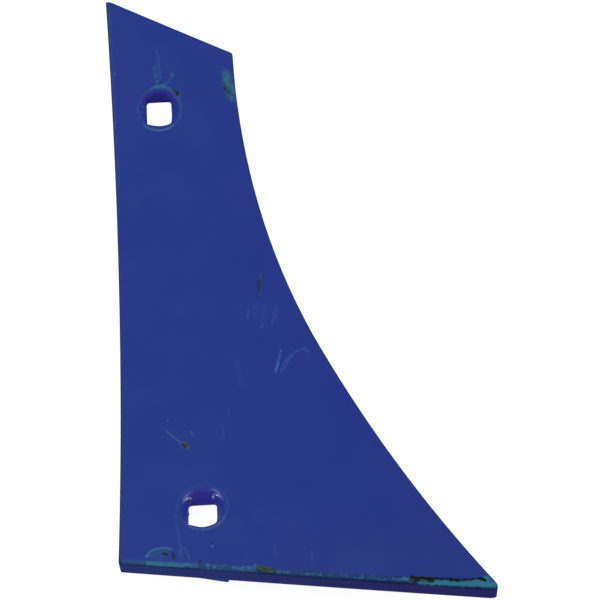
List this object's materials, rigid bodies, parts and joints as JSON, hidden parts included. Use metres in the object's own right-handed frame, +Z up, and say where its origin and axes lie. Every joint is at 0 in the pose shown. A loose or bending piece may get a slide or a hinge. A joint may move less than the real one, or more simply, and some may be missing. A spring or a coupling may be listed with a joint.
{
  "type": "plough shin",
  "caption": "Pressed steel plough shin: a hollow-bent wear plate with a straight landside edge, a swept flared edge and countersunk square bolt holes.",
  "frame": {"origin": "centre of the footprint, on the surface that the plate lies on", "axes": "+X from the straight landside edge towards the flared edge, +Y from the bottom edge towards the narrow tip, +Z up out of the hollow working face"},
  "size_m": [0.1724, 0.346, 0.0529],
  "materials": {
    "blue_paint": "satin blue enamel over steel, scuffed, with teal wear and rust specks along the bottom edge"
  },
  "bodies": {
    "root": {"shin_plate": "blue_paint"}
  },
  "joints": []
}
